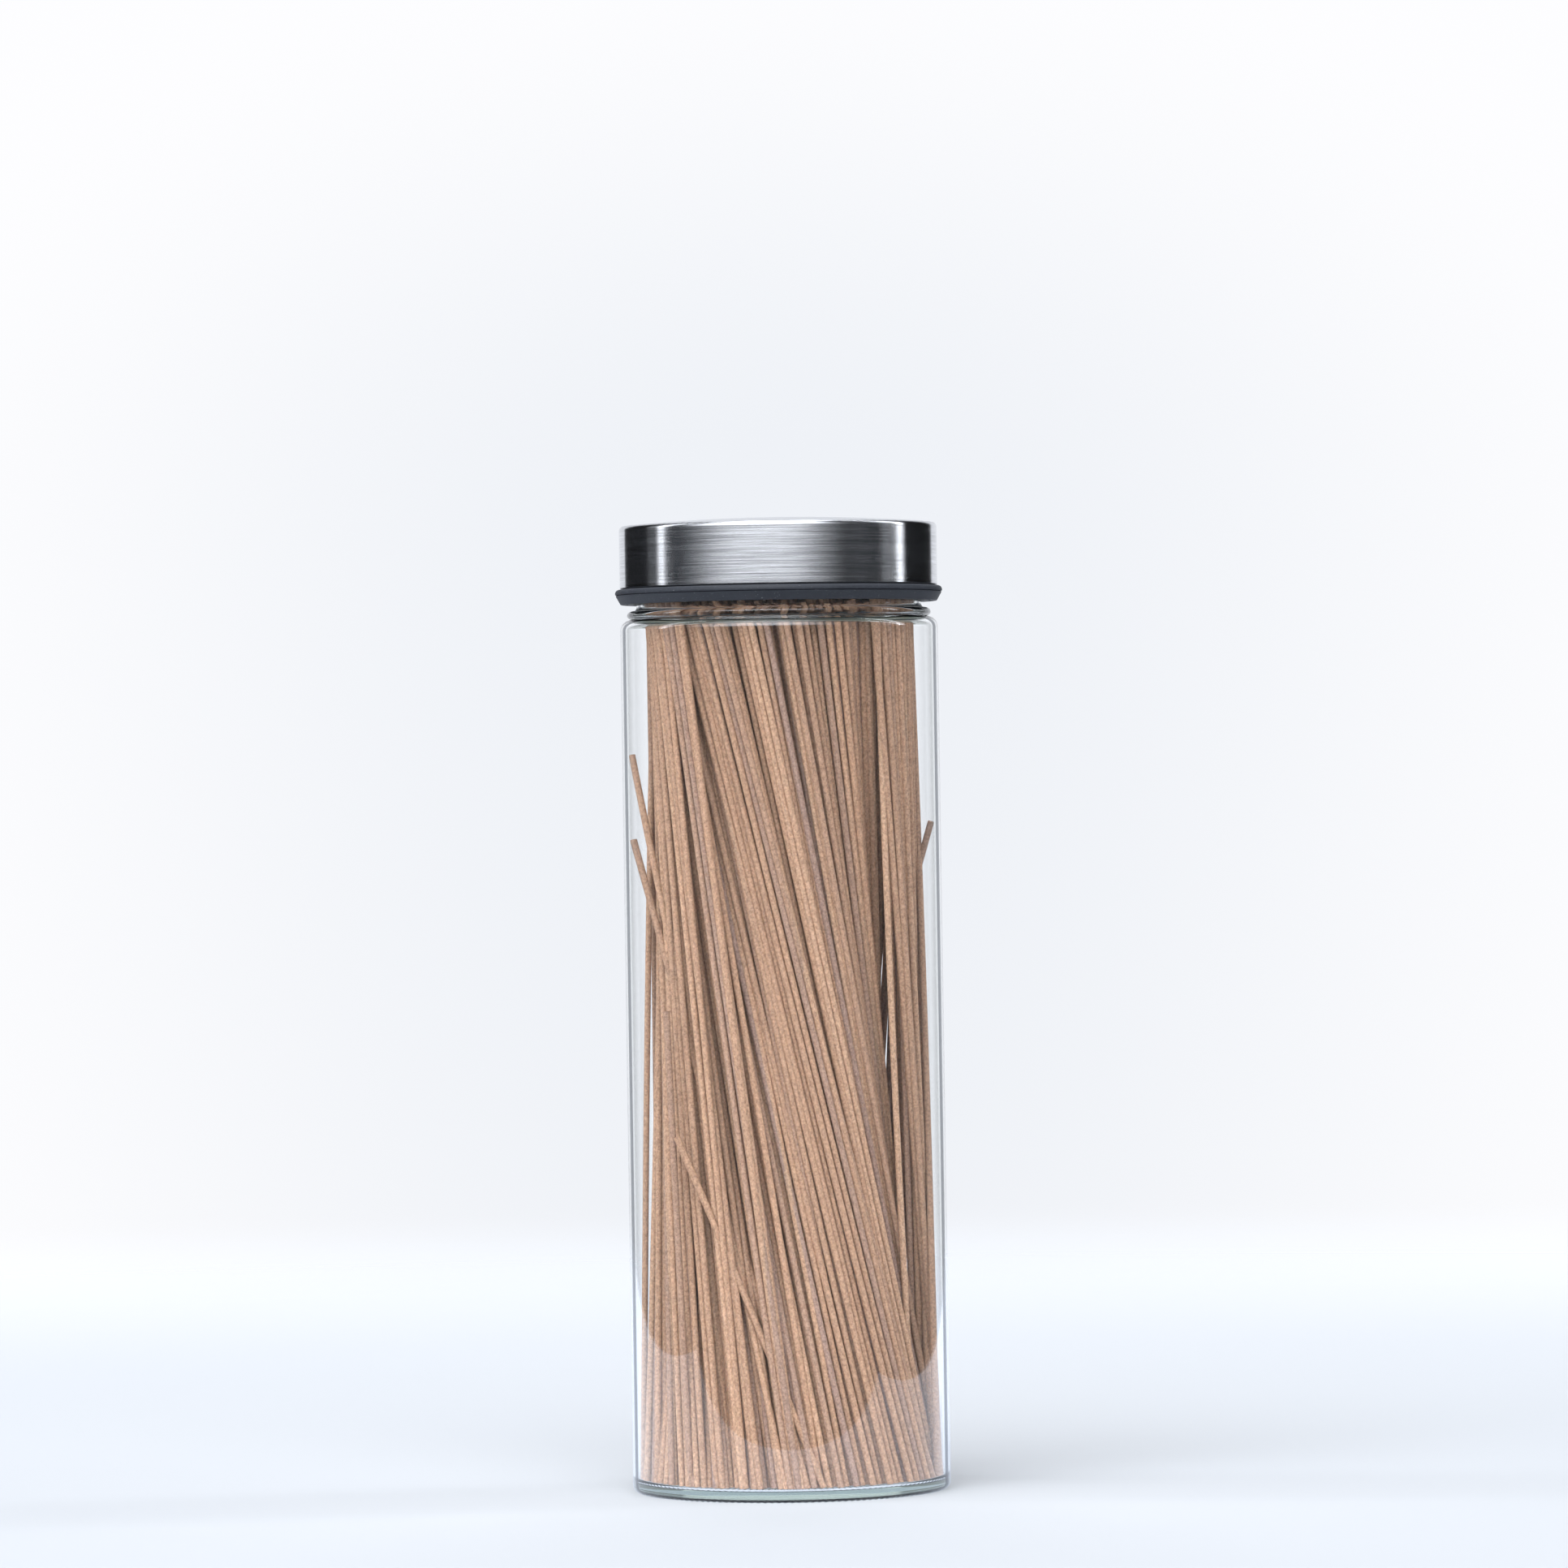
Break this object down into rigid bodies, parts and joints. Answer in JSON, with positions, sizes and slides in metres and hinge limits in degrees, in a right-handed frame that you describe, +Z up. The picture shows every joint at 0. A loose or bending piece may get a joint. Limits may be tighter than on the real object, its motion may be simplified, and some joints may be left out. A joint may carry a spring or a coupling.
{
  "type": "lidded glass canister",
  "caption": "Tall cylindrical glass storage canister with a narrower neck, and a pull-off lid: domed brushed steel cap, soft grip ring, moulded core and finned plug seal.",
  "frame": {"origin": "centre of the plane that the canister stands on, under the jar", "axes": "+Z up along the jar's axis, towards the lid; the object is round about Z, so +X and +Y are any two square directions"},
  "size_m": [0.0948, 0.0948, 0.2816],
  "materials": {
    "clear_glass": "smooth clear glass with a faint grey-green tint where it is thick",
    "brushed_steel": "stainless steel, brushed round the side and across the top",
    "grey_plastic": "fine matte moulded plastic",
    "slate_silicone": "matte dark slate silicone",
    "pale_silicone": "soft satin translucent silicone"
  },
  "bodies": {
    "jar": {"glass_jar": "clear_glass"},
    "lid": {"steel_cap": "brushed_steel", "lid_body": "grey_plastic", "grip_ring": "slate_silicone", "plug_seal": "pale_silicone"}
  },
  "joints": [
    {"name": "lid_lift", "type": "slide", "parent": "jar", "child": "lid", "axis": [0, 0, 1], "range_m": [0, 0.12]}
  ]
}
